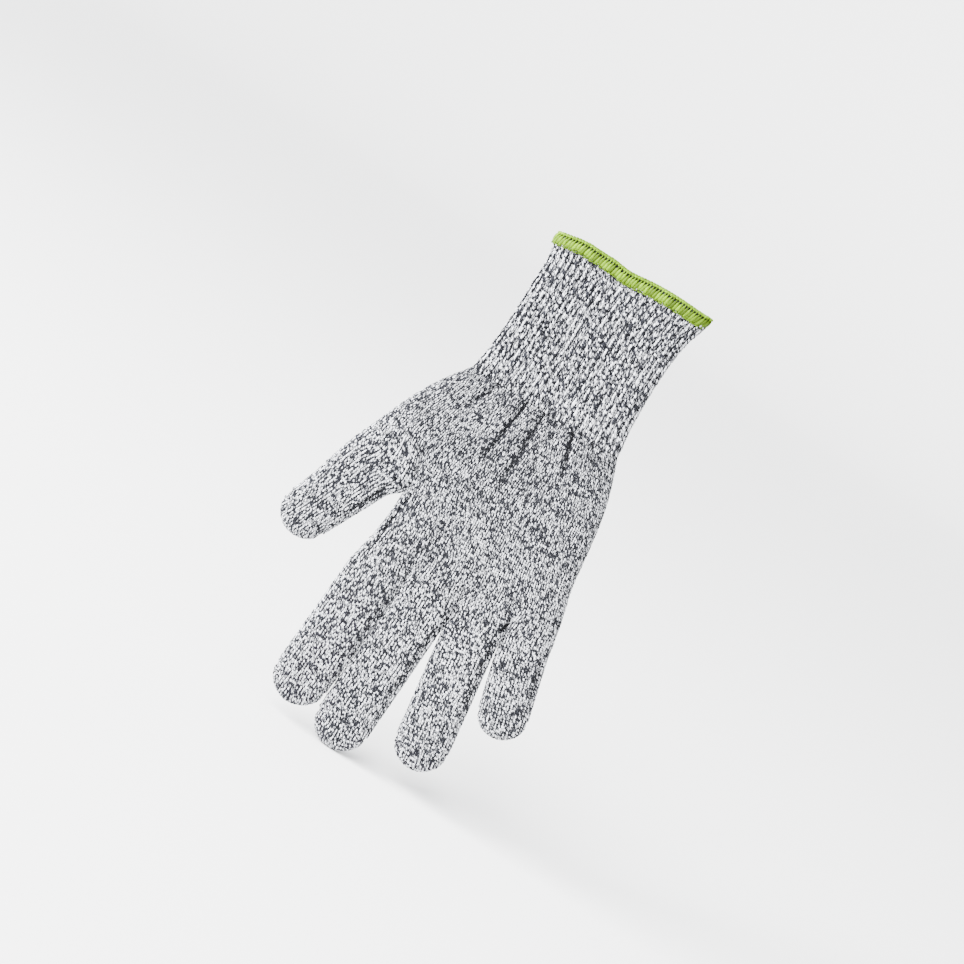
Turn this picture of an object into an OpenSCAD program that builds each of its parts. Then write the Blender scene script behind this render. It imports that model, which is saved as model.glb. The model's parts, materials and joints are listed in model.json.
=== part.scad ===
// Seamless knitted glove, left hand, held by the wrist with its fingers hanging down.
// +Z runs from the fingertips up the wrist, +X points to the little finger, and the back
// of the hand faces -Y. The origin is the middle of the opening, level with the hem's top.

/* [Cuff] */
// Flat width of the ribbed cuff
cuff_w = 67; // [52:1:84]
// Thickness of the cuff as it hangs, front to back
cuff_t = 11; // [9:0.5:16]
// Length of the cuff from the hem's top to the wrist
cuff_len = 67; // [45:1:90]
// Number of elastic yarn rounds laid in the rib
elastic_rounds = 9; // [4:1:14]
// Height and depth of one elastic round
elastic_yarn = 0.6; // [0.4:0.1:0.9]
// Distance from the hem to the first elastic round
elastic_from_hem = 3; // [2:0.5:6]

/* [Hem] */
// Height of the overlocked hem
hem_h = 5.6; // [4:0.2:8]
// Thickness of the looper thread lying on the knit
looper_t = 1.3; // [0.8:0.1:1.8]
// Diameter of the needle thread
needle_d = 0.7; // [0.4:0.1:1]

/* [Palm] */
// Thickness of the knitted wall
wall = 1.2; // [0.8:0.1:1.6]
// Thickness of the palm, front to back
palm_t = 12; // [10:0.5:18]
// Length from the wrist to the thumb crotch
lower_palm_len = 57.4; // [48:0.2:70]
// Length from the thumb crotch to the fold at the index finger's root
upper_palm_len = 41; // [34:0.5:50]
// How far the palm's edge stands out past the cuff at the wrist
wrist_ease = 1; // [0:0.5:3]
// How far the palm's outer edge stands out past the cuff at the thumb crotch
outer_flare = 14; // [10:0.5:18]
// How far the upper palm's outer edge starts in from the lower palm's
knuckle_inset = 2; // [0:0.5:3]

/* [Fingers] */
// Distance from the middle of the cuff to the middle of the index finger's root
index_offset = 25.2; // [21:0.2:30]
// Thickness of a finger, front to back
finger_t = 10; // [8:0.5:14]
// Width of the index finger
index_w = 23.4; // [19:0.2:28]
// Width of the middle finger
middle_w = 23; // [19:0.2:28]
// Width of the ring finger
ring_w = 22.4; // [18.6:0.2:27]
// Width of the little finger
little_w = 20.4; // [17:0.2:25]
// Length of the index finger from its root
index_len = 60.8; // [50.6:0.2:73]
// Length of the middle finger from its root
middle_len = 67.8; // [56.4:0.2:82]
// Length of the ring finger from its root
ring_len = 63; // [52.4:0.2:76]
// Length of the little finger from its root
little_len = 37.6; // [31.2:0.2:45.4]
// How much nearer the wrist the ring finger's root lies
ring_step = 4; // [2:0.2:6]
// How much nearer the wrist the little finger's root lies
little_step = 7.2; // [5.6:0.2:9]
// Gap between neighbouring finger roots
finger_gap = 0.5; // [0.4:0.1:1]
// Width of a crotch join between two fingers
crotch_w = 4; // [3:0.2:5]

/* [Thumb] */
// Width of the thumb
thumb_w = 24.4; // [20:0.2:29.4]
// Length of the thumb from its root
thumb_len = 51.6; // [43:0.2:62]
// Angle that the thumb stands out at
thumb_splay = 24; // [19:0.5:30]
// How far the thumb crotch lies in from the palm's edge beside the index finger
crotch_inset = 4.4; // [3:0.2:6]
// Width of the web between the thumb and the palm, along the fold at the thumb's root
thumb_web = 2.6; // [1.5:0.1:4]

/* [Bending] */
// Furthest that a finger bends at its root
root_bend = 70; // [50:1:80]
// Furthest that a finger bends back at its root
root_back = 15; // [0:1:20]
// Furthest that a finger bends at its middle joint
mid_bend = 90; // [70:1:100]
// Furthest that a finger bends at its end joint
end_bend = 45; // [30:1:60]
// Furthest that the wrist bends forwards
wrist_bend = 70; // [50:1:80]
// Furthest that the wrist bends back
wrist_back = 60; // [40:1:70]
// Clearance between two pieces at a fold
fold_gap = 0.4; // [0.3:0.05:0.8]

/* [Hidden] */

$fn = 48;
INDEX = 0;
MIDDLE = 1;
RING = 2;
LITTLE = 3;
far = 200;             // reach of a cutting block, past everything
seat = 0.05;           // clearance between pieces that lie on each other
extra = 12;            // how far a solid runs on before it is cut at an opening
lap = 0.01;            // overlap of two cutting blocks that stand side by side
pad_faces = 32;        // faces round each ball that a pad is hulled over
grey = "darkgray";
green = "yellowgreen";

// Heights of the wrist, the thumb crotch and the finger roots
wrist_z = -cuff_len;
thumb_crotch_z = wrist_z - lower_palm_len;
root_line_z = thumb_crotch_z - upper_palm_len;

// The four fingers, from the index finger to the little finger
finger_w = [index_w, middle_w, ring_w, little_w];
finger_len = [index_len, middle_len, ring_len, little_len];
finger_splay = [-3.2, -1.9, 8.4, 15.2];
finger_z = [root_line_z, root_line_z, root_line_z + ring_step, root_line_z + little_step];
// Level width of a finger, which is wider than the tube because the tube slants
function level_w(f) = finger_w[f] / cos(finger_splay[f]);
// Middle of a finger's root: each finger's lies beside the one before
function root_x(f) =
    f == INDEX ? -index_offset
    : root_x(f - 1) + (level_w(f - 1) + level_w(f)) / 2 + finger_gap;
// Line between finger f and the next
function between_x(f) = root_x(f) + (level_w(f) + finger_gap) / 2;
palm_left_x = root_x(INDEX) - level_w(INDEX) / 2;
palm_right_x = root_x(LITTLE) + level_w(LITTLE) / 2;

// Places of the folds along a finger and along the thumb, as shares of its length
mid_share = 0.4;
end_share = 0.7;
thumb_end_share = 0.47;

// The thumb's root: the fold across it runs out from the thumb crotch, past the web
crotch_x = palm_left_x + crotch_inset;
thumb_reach = thumb_w / 2 + thumb_web;
thumb_x = crotch_x - thumb_reach * cos(thumb_splay);
thumb_z = thumb_crotch_z + thumb_reach * sin(thumb_splay);
thumb_bend = 45;
thumb_back = 10;
thumb_end_bend = 55;

// Flat oval of width w and thickness t
module oval(w, t) {
    flat = w - t;
    square([flat, t], center = true);
    for (side = [-1, 1]) translate([side * flat / 2, 0]) circle(d = t);
}

// Upright ring of knit between heights top and bottom, with a wall of the given thickness
module oval_ring(w, t, thick, top, bottom) {
    translate([0, 0, bottom]) linear_extrude(top - bottom) difference() {
        oval(w, t);
        oval(w - 2 * thick, t - 2 * thick);
    }
}

// Solid finger of width w and thickness t: a straight tube that ends in a round tip. Its tip
// is centred on that of a finger outer_w wide, whose length is len.
module finger_solid(w, t, outer_w, len) {
    straight = len - outer_w / 2;
    translate([0, 0, -straight]) linear_extrude(straight + extra) oval(w, t);
    translate([0, 0, -straight]) rotate([90, 0, 0]) rotate([0, 0, 180])
        rotate_extrude(angle = 180) intersection() {
            oval(w, t);
            translate([0, -t]) square([w, 2 * t]);
        }
}

// Hollow finger, its root at the origin and its tip at -len
module finger_tube(w, len) {
    difference() {
        finger_solid(w, finger_t, w, len);
        finger_solid(w - 2 * wall, finger_t - 2 * wall, w, len);
    }
}

// Block that clears the way for a fold about X at height z. It takes away what lies past the
// fold: below it for side 1, and above it for side -1. The palm side opens by half of bend,
// and the back of the hand by half of back.
module fold_block(z, bend, back, side, x1 = -far, x2 = far) {
    lip = z + side * fold_gap / 2;
    palm_lip = lip + side * far * tan(bend / 2);
    back_lip = lip + side * far * tan(back / 2);
    end_z = z - side * far;
    translate([x1, 0, 0]) rotate([90, 0, 90]) linear_extrude(x2 - x1) polygon([
        [-far, back_lip], [0, lip], [far, palm_lip], [far, end_z], [-far, end_z]
    ]);
}

// Puts a finger's own frame, root at the origin and tip downwards, in its place on the hand
module at_finger(f) {
    translate([root_x(f), 0, finger_z[f]]) rotate([0, -finger_splay[f], 0]) children();
}

// The fold at finger f's root lies level, across the hand
module root_fold(f, side, x1 = -far, x2 = far) {
    fold_block(finger_z[f], root_bend, root_back, side, x1, x2);
}

module finger_root(f) {
    color(grey) difference() {
        at_finger(f) difference() {
            finger_tube(finger_w[f], finger_len[f]);
            fold_block(-mid_share * finger_len[f], mid_bend, 0, 1);
        }
        root_fold(f, -1);
    }
}

module finger_mid(f) {
    color(grey) at_finger(f) difference() {
        finger_tube(finger_w[f], finger_len[f]);
        fold_block(-mid_share * finger_len[f], mid_bend, 0, -1);
        fold_block(-end_share * finger_len[f], end_bend, 0, 1);
    }
}

module finger_end(f) {
    color(grey) at_finger(f) difference() {
        finger_tube(finger_w[f], finger_len[f]);
        fold_block(-end_share * finger_len[f], end_bend, 0, -1);
    }
}

module at_thumb() {
    translate([thumb_x, 0, thumb_z]) rotate([0, thumb_splay, 0]) children();
}

module thumb_root() {
    color(grey) at_thumb() difference() {
        finger_tube(thumb_w, thumb_len);
        fold_block(0, thumb_bend, thumb_back, -1);
        fold_block(-thumb_end_share * thumb_len, thumb_end_bend, 0, 1);
    }
}

module thumb_end() {
    color(grey) at_thumb() difference() {
        finger_tube(thumb_w, thumb_len);
        fold_block(-thumb_end_share * thumb_len, thumb_end_bend, 0, -1);
    }
}

// Convex pad with a round edge of radius r, hulled over balls at the given centres
module pad(centres, r) {
    hull() for (c = centres) translate([c[0], 0, c[1]]) sphere(r, $fn = pad_faces);
}

// Upright block over an outline in X and Z
module plan(outline) {
    translate([0, far, 0]) rotate([90, 0, 0]) linear_extrude(2 * far) polygon(outline);
}

edge = palm_t / 2;
wrist_half = cuff_w / 2 + wrist_ease;
// Outer edge of the palm at the thumb crotch, on the little finger's side
outer_x = cuff_w / 2 + outer_flare;
// Outer corner of the thumb's root
thumb_corner = [thumb_x - thumb_w / 2 * cos(thumb_splay), thumb_z + thumb_w / 2 * sin(thumb_splay)];

// Centres of the lower palm's round edge, run on past the wrist, the thumb's root and the
// thumb crotch
lower_centres = [
    [-wrist_half + edge, wrist_z + extra],
    [wrist_half - edge, wrist_z + extra],
    [outer_x - edge, thumb_crotch_z],
    [outer_x - edge, thumb_crotch_z - extra],
    [crotch_x, thumb_crotch_z - extra],
    [thumb_corner[0] + edge * cos(thumb_splay), thumb_corner[1]],
    [thumb_corner[0] + edge - extra * sin(thumb_splay), thumb_corner[1] - extra]
];
// What the lower palm keeps: down to the thumb's root on the left, and to the thumb crotch
lower_outline = [
    [-far, wrist_z + extra], [far, wrist_z + extra],
    [far, thumb_crotch_z], [crotch_x, thumb_crotch_z],
    [crotch_x - far * cos(thumb_splay), thumb_crotch_z + far * sin(thumb_splay)]
];

module lower_palm_space(r) {
    intersection() {
        pad(lower_centres, r);
        plan(lower_outline);
    }
}

// The fold at the thumb's root, cut from the palm's side of it
module thumb_fold_in_palm() {
    at_thumb() fold_block(0, thumb_bend, thumb_back, 1, -far, thumb_reach);
}

module lower_palm() {
    color(grey) difference() {
        lower_palm_space(edge);
        pad(lower_centres, edge - wall);
        fold_block(wrist_z, wrist_bend, wrist_back, -1);
        thumb_fold_in_palm();
    }
}

// Centres of the upper palm's round edge
upper_centres = [
    [crotch_x + edge, thumb_crotch_z + extra],
    [outer_x - edge - knuckle_inset, thumb_crotch_z + extra],
    [palm_right_x - edge, finger_z[LITTLE]],
    [palm_right_x - edge, finger_z[LITTLE] - extra],
    [between_x(RING) - edge, finger_z[INDEX] - extra],
    [palm_left_x + edge, finger_z[INDEX]],
    [palm_left_x + edge, finger_z[INDEX] - extra]
];

// Clears the four finger roots' folds out of the upper palm, each in its own width
module root_folds() {
    for (f = [INDEX : LITTLE]) {
        x1 = f == INDEX ? -far : between_x(f - 1) - lap;
        x2 = f == LITTLE ? far : between_x(f) + lap;
        root_fold(f, 1, x1, x2);
    }
}

module upper_palm() {
    color(grey) difference() {
        pad(upper_centres, edge);
        pad(upper_centres, edge - wall);
        translate([-far, -far, thumb_crotch_z]) cube(2 * far);
        root_folds();
    }
}

// A join fills the palm from its inner wall at the back to its inner wall at the front
join_t = palm_t - 2 * (wall + seat);

// Join that closes the palm between finger f and the next
module finger_crotch(f) {
    top = max(finger_z[f], finger_z[f + 1]) + crotch_w;
    color(grey) difference() {
        translate([between_x(f) - crotch_w / 2, -join_t / 2, top - far]) cube([crotch_w, join_t, far]);
        root_folds();
    }
}

// Join that closes the palm between the thumb and the index finger, over the web
module thumb_crotch() {
    color(grey) difference() {
        intersection() {
            plan(lower_outline);
            at_thumb() translate([thumb_w / 2, -join_t / 2, -crotch_w])
                cube([thumb_web + crotch_w, join_t, 2 * crotch_w]);
        }
        thumb_fold_in_palm();
    }
}

module rib_cuff() {
    color(grey) difference() {
        oval_ring(cuff_w, cuff_t, wall, -looper_t, wrist_z - extra);
        fold_block(wrist_z, wrist_bend, wrist_back, 1);
    }
}

// Elastic rounds lie against the inside of the rib, evenly spaced from the hem to the wrist
module cuff_elastic() {
    inside_w = cuff_w - 2 * (wall + seat);
    inside_t = cuff_t - 2 * (wall + seat);
    first_z = -hem_h - elastic_from_hem;
    last_z = wrist_z + cuff_t;
    color("whitesmoke") for (k = [0 : elastic_rounds - 1]) {
        top = first_z + (last_z - first_z) * k / (elastic_rounds - 1);
        oval_ring(inside_w, inside_t, elastic_yarn, top, top - elastic_yarn);
    }
}

// Outer looper: a band round the outside of the hem that turns over the cuff's raw edge
module hem_upper_looper() {
    outside_w = cuff_w + 2 * (looper_t + seat);
    outside_t = cuff_t + 2 * (looper_t + seat);
    color(green) {
        oval_ring(outside_w, outside_t, looper_t, -looper_t, -hem_h);
        oval_ring(outside_w, outside_t, looper_t + seat + wall, 0, -looper_t);
    }
}

// Inner looper: a thinner band on the inside of the hem
module hem_lower_looper() {
    inside_w = cuff_w - 2 * (wall + seat);
    inside_t = cuff_t - 2 * (wall + seat);
    color(green) oval_ring(inside_w, inside_t, elastic_yarn, -looper_t, -hem_h);
}

// Needle thread: a line of stitches just below the outer looper
module hem_needle_thread() {
    outside_w = cuff_w + 2 * (needle_d + seat);
    outside_t = cuff_t + 2 * (needle_d + seat);
    top = -hem_h - seat;
    color(green) oval_ring(outside_w, outside_t, needle_d, top, top - needle_d);
}

rib_cuff();
cuff_elastic();
hem_upper_looper();
hem_lower_looper();
hem_needle_thread();
lower_palm();
upper_palm();
finger_crotch(INDEX);  // index_middle_crotch
finger_crotch(MIDDLE);  // middle_ring_crotch
finger_crotch(RING);  // ring_little_crotch
thumb_crotch();
thumb_root();
thumb_end();
finger_root(INDEX);  // index_root
finger_mid(INDEX);  // index_mid
finger_end(INDEX);  // index_end
finger_root(MIDDLE);  // middle_root
finger_mid(MIDDLE);  // middle_mid
finger_end(MIDDLE);  // middle_end
finger_root(RING);  // ring_root
finger_mid(RING);  // ring_mid
finger_end(RING);  // ring_end
finger_root(LITTLE);  // little_root
finger_mid(LITTLE);  // little_mid
finger_end(LITTLE);  // little_end
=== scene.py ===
"""Knitted cut resistant glove: its yarn, hem and elastic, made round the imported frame."""
import json

import bpy
import numpy as np
from mathutils import Matrix, Vector


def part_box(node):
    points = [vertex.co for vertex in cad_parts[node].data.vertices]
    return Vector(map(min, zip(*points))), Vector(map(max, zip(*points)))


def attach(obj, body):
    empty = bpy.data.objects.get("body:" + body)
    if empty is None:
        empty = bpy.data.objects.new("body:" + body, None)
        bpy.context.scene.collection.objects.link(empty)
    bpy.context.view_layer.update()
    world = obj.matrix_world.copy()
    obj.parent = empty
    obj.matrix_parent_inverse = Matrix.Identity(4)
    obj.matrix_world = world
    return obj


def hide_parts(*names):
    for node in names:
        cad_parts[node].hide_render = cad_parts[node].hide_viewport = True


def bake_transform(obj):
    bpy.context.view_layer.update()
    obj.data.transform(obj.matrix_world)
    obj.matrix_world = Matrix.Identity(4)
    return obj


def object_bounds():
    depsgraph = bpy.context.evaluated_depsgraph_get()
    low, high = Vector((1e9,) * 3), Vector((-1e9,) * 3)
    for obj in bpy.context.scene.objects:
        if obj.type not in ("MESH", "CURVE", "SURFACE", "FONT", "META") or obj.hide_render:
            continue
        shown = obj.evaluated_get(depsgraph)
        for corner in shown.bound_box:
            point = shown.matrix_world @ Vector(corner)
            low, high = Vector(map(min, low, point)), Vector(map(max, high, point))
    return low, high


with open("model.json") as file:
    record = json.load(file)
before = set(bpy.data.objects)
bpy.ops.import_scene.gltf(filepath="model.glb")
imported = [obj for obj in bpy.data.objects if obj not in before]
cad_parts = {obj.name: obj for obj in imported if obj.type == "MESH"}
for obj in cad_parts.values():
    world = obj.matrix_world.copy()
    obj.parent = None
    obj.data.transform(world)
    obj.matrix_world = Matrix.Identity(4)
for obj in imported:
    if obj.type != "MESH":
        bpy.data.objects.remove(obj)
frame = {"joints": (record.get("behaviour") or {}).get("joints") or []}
CAD_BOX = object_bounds()

bl_info = {
    "name": "Knitted Glove",
    "version": (1, 0, 0),
    "blender": (4, 5, 0),
    "location": "3D View > Sidebar > Glove",
    "description": "Builds a seamless knitted glove stitch by stitch",
    "category": "Add Mesh",
}

MM = 0.001             # metres in a millimetre, the unit of every shape function here
FINGERS = ("index", "middle", "ring", "little")
LIMBS = ("thumb",) + FINGERS
FINGER_JOINS = ("index_middle_crotch", "middle_ring_crotch", "ring_little_crotch")
SHORT = {"ring": 1.2, "little": 2.0}     # how far the knit stops short of its solid's end
OVAL_SAMPLES = 241     # points that an oval is measured with
HALF = 2               # grid steps to a wale and to a course
TONES = 8              # steps of lightness that strands are given
CUFF_TOP = -0.8        # height of the cuff's first row, inside the hem
DROOP_REACH = 45.0     # how far down the cuff its rows still follow the hem's line
RIB_RISE = 0.42        # height of a rib's ridge over the middle of its wave
WRIST_REACH = 9.0      # half the length of cloth that turns at the wrist
KNUCKLE_RISE = 3.2     # how far above the fold at its root a finger starts
ROOT_REACH = 9.0       # length over which a finger's root runs into its straight tube
CREASE_INSET = 1.9     # how far the crease down a finger lies in from its edge
GROUND_DEPTH = 0.22    # how far the ground lies under the surface

# A stitch's leg: place along it, height over the surface and share of its full width
LEG_AT = np.array([0.0, 0.3, 0.72, 1.0])
LEG_LIFT = np.array([-0.02, 0.32, 0.28, -0.22])
LEG_WIDTH = np.array([0, 1.0, 0.92, 0])
LEG_HEIGHT = np.array([0, 1.0, 0.85, 0])

# A hem wrap, from its foot to the edge
WRAP_RISE = np.array([0.0, 0.08, 0.36, 0.6, 0.74, 0.9, 1.0])     # height up the hem, from 0 to 1
WRAP_STAND = np.array([0.1, 0.72, 0.98, 0.95, 0.75, 0.35, -0.5])  # distance out from the knit
WRAP_LEAN = np.array([-0.5, -0.4, -0.12, 0.1, 0.25, 0.35, 0.45])  # shift along the hem, in pitches
WRAP_WIDTH = np.array([0, 0.55, 0.58, 0.5, 0.2, 0.2, 0])        # half width, in pitches

# A link of the hem's edge chain: place along the hem in pitches, rise, and distance out
LINK_AT = np.array([-0.8, -0.45, 0, 0.45, 0.8])
LINK_RISE = np.array([-0.24, -0.1, 0.03, 0.1, -0.08])
LINK_STAND = np.array([0.45, 0.42, 0.25, 0.05, -0.2])
NEEDLE_STEP = 2.4      # length of a needle stitch

ELASTIC_ROUNDS = 9
ELASTIC_DEPTH = 1.45   # how far the elastic lies inside the rib's surface
ELASTIC_RADIUS = 0.27

VIEW_WIDTH = 0.3893    # width of the camera's view at the glove, in metres
HEM_SPOT = (0.1603, 0.2157)   # place of the hem's middle from the view's, in view widths
FLOOR_RADIUS = 5.0     # reach of the paper, in metres
FLOOR_LIP = 1.6        # radius of its upward curve at the rim, in metres
FLOOR_SIDES = 64


# ---------------------------------------------------------------- places read from the frame

def joint_place(name):
    """Place of a joint in millimetres, as (x, z)."""
    pos = next(j["pos_m"] for j in frame["joints"] if j["name"] == name)
    return np.array([pos[0], pos[2]]) / MM


def node_box(name):
    """Lowest and highest corner of a node in millimetres."""
    low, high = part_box(name)
    return np.array(low) / MM, np.array(high) / MM


def limb_frame(limb):
    """Root, direction, width and length of a finger or the thumb. Its tip is a circle of radius r at
    root + k * direction, which touches the end node's box below and on the side it leans to: two
    linear equations in k and r. The knit's own tip may stop short of that."""
    root = joint_place(f"{limb}_root_bend")
    way = joint_place(f"{limb}_end_bend") - root
    way /= np.linalg.norm(way)
    low, high = node_box(f"{limb}_end")
    lean = 1 if way[0] > 0 else -1
    side = high[0] if lean > 0 else low[0]
    k, r = np.linalg.solve([[way[1], -1], [way[0], lean]], [low[2] - root[1], side - root[0]])
    return {"root": root, "way": way, "across": np.array([-way[1], way[0]]), "radius": r,
            "to_tip_centre": k - SHORT.get(limb, 0)}


WRIST_Z = joint_place("wrist_bend")[1]
CUFF_HALF = node_box("rib_cuff")[1][0]
HEM_LOW, HEM_HIGH = node_box("hem_upper_looper")
THUMB_CROTCH_Z = node_box("lower_palm")[0][2]
LIMB = {limb: limb_frame(limb) for limb in LIMBS}


def crotch_place(name):
    """Point where two fingers part, a little above the join between them."""
    low, high = node_box(name)
    return np.array([(low[0] + high[0]) / 2, high[2] + 1.5])


# At this spot the yarn is left out, so the ground's painted shade shows as a dark hole.
BARE = crotch_place("ring_little_crotch") + [-1.9, 0.4]    # hole where ring and little finger part


def thumb_crotch_place():
    """Point on the fold across the thumb's root that lies level with the end of the lower palm."""
    thumb = LIMB["thumb"]
    reach = (THUMB_CROTCH_Z - thumb["root"][1]) / thumb["across"][1]
    return thumb["root"] + reach * thumb["across"]


# ---------------------------------------------------------------- settings

class GloveKnit(bpy.types.PropertyGroup):
    """Sizes and colours of the knit."""
    wale: bpy.props.FloatProperty(
        name="Wale", description="Width of one column of stitches", default=0.00134, unit="LENGTH")
    course: bpy.props.FloatProperty(
        name="Course", description="Height of one row of stitches", default=0.00106, unit="LENGTH")
    rib: bpy.props.FloatProperty(
        name="Rib", description="Distance between two ribs of the cuff", default=0.0024, unit="LENGTH")
    finger_depth: bpy.props.FloatProperty(
        name="Finger Depth", description="Thickness of a finger", default=0.0098, unit="LENGTH")
    palm_depth: bpy.props.FloatProperty(
        name="Palm Depth", description="Thickness of the palm", default=0.0118, unit="LENGTH")
    cuff_depth: bpy.props.FloatProperty(
        name="Cuff Depth", description="Thickness of the cuff", default=0.0108, unit="LENGTH")
    wall: bpy.props.FloatProperty(
        name="Wall", description="Thickness of the ground behind the yarn", default=0.0008, unit="LENGTH")
    light: bpy.props.FloatVectorProperty(
        name="Light Ply", description="Colour of the yarn's light ply", default=(0.75, 0.76, 0.80),
        subtype="COLOR", size=3, min=0, max=1)
    dark: bpy.props.FloatVectorProperty(
        name="Dark Ply", description="Colour of the yarn's dark ply", default=(0.006, 0.0063, 0.0085),
        subtype="COLOR", size=3, min=0, max=1)
    # Painted shade: the ground's dark colour stands in for the shadow deep between the stitches.
    ground: bpy.props.FloatVectorProperty(
        name="Ground", description="Colour deep between the stitches", default=(0.03, 0.031, 0.035),
        subtype="COLOR", size=3, min=0, max=1)


class GloveHem(bpy.types.PropertyGroup):
    """Sizes and colours of the overlocked hem and the elastic."""
    pitch: bpy.props.FloatProperty(
        name="Pitch", description="Distance between two hem stitches", default=0.00138, unit="LENGTH")
    thread: bpy.props.FloatProperty(
        name="Thread", description="Diameter of the looper thread", default=0.0012, unit="LENGTH")
    needle: bpy.props.FloatProperty(
        name="Needle Thread", description="Diameter of the needle thread", default=0.0007, unit="LENGTH")
    green: bpy.props.FloatVectorProperty(
        name="Green", description="Colour of the hem threads", default=(0.105, 0.20, 0.0),
        subtype="COLOR", size=3, min=0, max=1)
    elastic: bpy.props.FloatVectorProperty(
        name="Elastic", description="Colour of the covered elastic", default=(0.7, 0.7, 0.68),
        subtype="COLOR", size=3, min=0, max=1)


class GloveStage(bpy.types.PropertyGroup):
    """Camera, floor and lights."""
    lens: bpy.props.FloatProperty(
        name="Lens", description="Focal length of the camera in millimetres", default=100.0)
    elevation: bpy.props.FloatProperty(
        name="Elevation", description="Angle of the camera above the horizon", default=0.14,
        subtype="ANGLE")
    roll: bpy.props.FloatProperty(
        name="Roll", description="Turn of the camera about its view", default=0.5634, subtype="ANGLE")
    sun: bpy.props.FloatProperty(
        name="Sun", description="Strength of the broad light from the front", default=9.0)
    window: bpy.props.FloatProperty(
        name="Window", description="Power of the light from the thumb's side, in watts", default=260.0)
    sky: bpy.props.FloatProperty(
        name="Sky", description="Strength of the light from all round", default=1.9)
    paper: bpy.props.FloatVectorProperty(
        name="Paper", description="Colour of the floor", default=(0.86, 0.86, 0.86),
        subtype="COLOR", size=3, min=0, max=1)


# ---------------------------------------------------------------- mesh helpers

def smoothstep(t):
    """0 before 0, 1 after 1, and 3 t^2 - 2 t^3 between."""
    t = np.clip(t, 0, 1)
    return t * t * (3 - 2 * t)


def mix(a, b, t):
    """Straight mix of a and b."""
    return a + (b - a) * t


def unit(v):
    """Vectors scaled to length 1."""
    return v / np.maximum(np.linalg.norm(v, axis=-1, keepdims=True), 1e-9)


def new_piece(name, verts, corners, starts, maps, material):
    """Mesh object from vertices in millimetres, the corners of its faces in one list, where each
    face starts in that list, and its UV maps by name."""
    mesh = bpy.data.meshes.new(name)
    mesh.vertices.add(len(verts))
    mesh.vertices.foreach_set("co", (verts * MM).astype(np.float32).ravel())
    mesh.loops.add(len(corners))
    mesh.loops.foreach_set("vertex_index", corners.astype(np.int32))
    mesh.polygons.add(len(starts))
    mesh.polygons.foreach_set("loop_start", starts.astype(np.int32))
    mesh.update(calc_edges=True)
    mesh.polygons.foreach_set("use_smooth", np.ones(len(starts), bool))
    for map_name, uv in maps.items():
        layer = mesh.uv_layers.new(name=map_name)
        layer.data.foreach_set("uv", uv.astype(np.float32).ravel())
    mesh.materials.append(material)
    piece = bpy.data.objects.new(name, mesh)
    bpy.context.scene.collection.objects.link(piece)
    return piece


def strands(paths, normals, width, height, sides=6):
    """Short closed strands. Each follows its own path of k points: the first and last are points, and
    each one between is an oval ring, width across the path and height along the normal. Returns the
    vertices, the face corners, the face starts, and for each corner its (place along, place round)."""
    count, k = paths.shape[:2]
    rings = k - 2
    along = unit(np.gradient(paths, axis=1))
    across = unit(np.cross(normals, along))
    up = np.cross(along, across)
    turn = 2 * np.pi * np.arange(sides) / sides
    ring = paths[:, 1:-1, None] \
        + across[:, 1:-1, None] * (width[:, 1:-1, None] * np.cos(turn))[..., None] \
        + up[:, 1:-1, None] * (height[:, 1:-1, None] * np.sin(turn))[..., None]
    verts = np.concatenate([paths[:, :1], ring.reshape(count, rings * sides, 3), paths[:, -1:]], 1)
    each = verts.shape[1]
    here = np.arange(sides)
    nxt = (here + 1) % sides
    faces, places = [], []
    first = 1 + np.stack([nxt, here], 1)
    faces.append(np.concatenate([np.zeros((sides, 1), int), first], 1))
    places.append(np.stack([(0, 0.5, 1, 1, 1, 0)] * sides).reshape(sides, 3, 2))
    for r in range(rings - 1):
        a = 1 + r * sides
        faces.append(np.stack([a + here, a + nxt, a + sides + nxt, a + sides + here], 1))
        places.append(np.array([[(r + 1, 0), (r + 1, 1), (r + 2, 1), (r + 2, 0)]] * sides, float))
    a = 1 + (rings - 1) * sides
    faces.append(np.stack([a + here, a + nxt, np.full(sides, each - 1)], 1))
    places.append(np.array([[(rings, 0), (rings, 1), (rings + 1, 0.5)]] * sides, float))
    places = [place.astype(float) for place in places]
    for place in places:
        place[..., 1] += here[:, None]
    sizes = np.concatenate([np.full(len(f), f.shape[1]) for f in faces])
    one = np.concatenate([f.ravel() for f in faces])
    place = np.concatenate([p.reshape(-1, 2) for p in places])
    corners = (one[None] + each * np.arange(count)[:, None]).ravel()
    starts = np.concatenate([[0], np.cumsum(sizes)[:-1]])
    starts = (starts[None] + len(one) * np.arange(count)[:, None]).ravel()
    spot = place / [k - 1, sides]
    return verts.reshape(-1, 3), corners, starts, np.tile(spot, (count, 1)), len(one)


def atlas(spots, corners_each):
    """A cell of a square atlas for each strand, with a margin round it."""
    count = len(spots) // corners_each
    cells = int(np.ceil(np.sqrt(count)))
    index = np.repeat(np.arange(count), corners_each)
    cell = np.stack([index % cells, index // cells], 1)
    return (cell + 0.08 + 0.84 * spots) / cells


def strand_piece(name, paths, normals, width, height, turn, tone, material, sides=5, twist=0.45):
    """Piece made of strands. The map Twist holds the ply's turn, which is turn + twist * place along,
    and the place round the strand added to the strand's tone, a whole number from 0 to TONES - 1.
    The map OFBake holds each strand's own cell."""
    verts, corners, starts, spots, each = strands(paths, normals, width, height, sides)
    turn = np.repeat(turn, each) + twist * spots[:, 0]
    place = np.repeat(tone, each) + 0.01 + 0.98 * spots[:, 1]
    maps = {"Twist": np.stack([turn, place], 1), "OFBake": atlas(spots, each)}
    return new_piece(name, verts, corners, starts, maps, material)


# ---------------------------------------------------------------- the glove's surface

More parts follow.
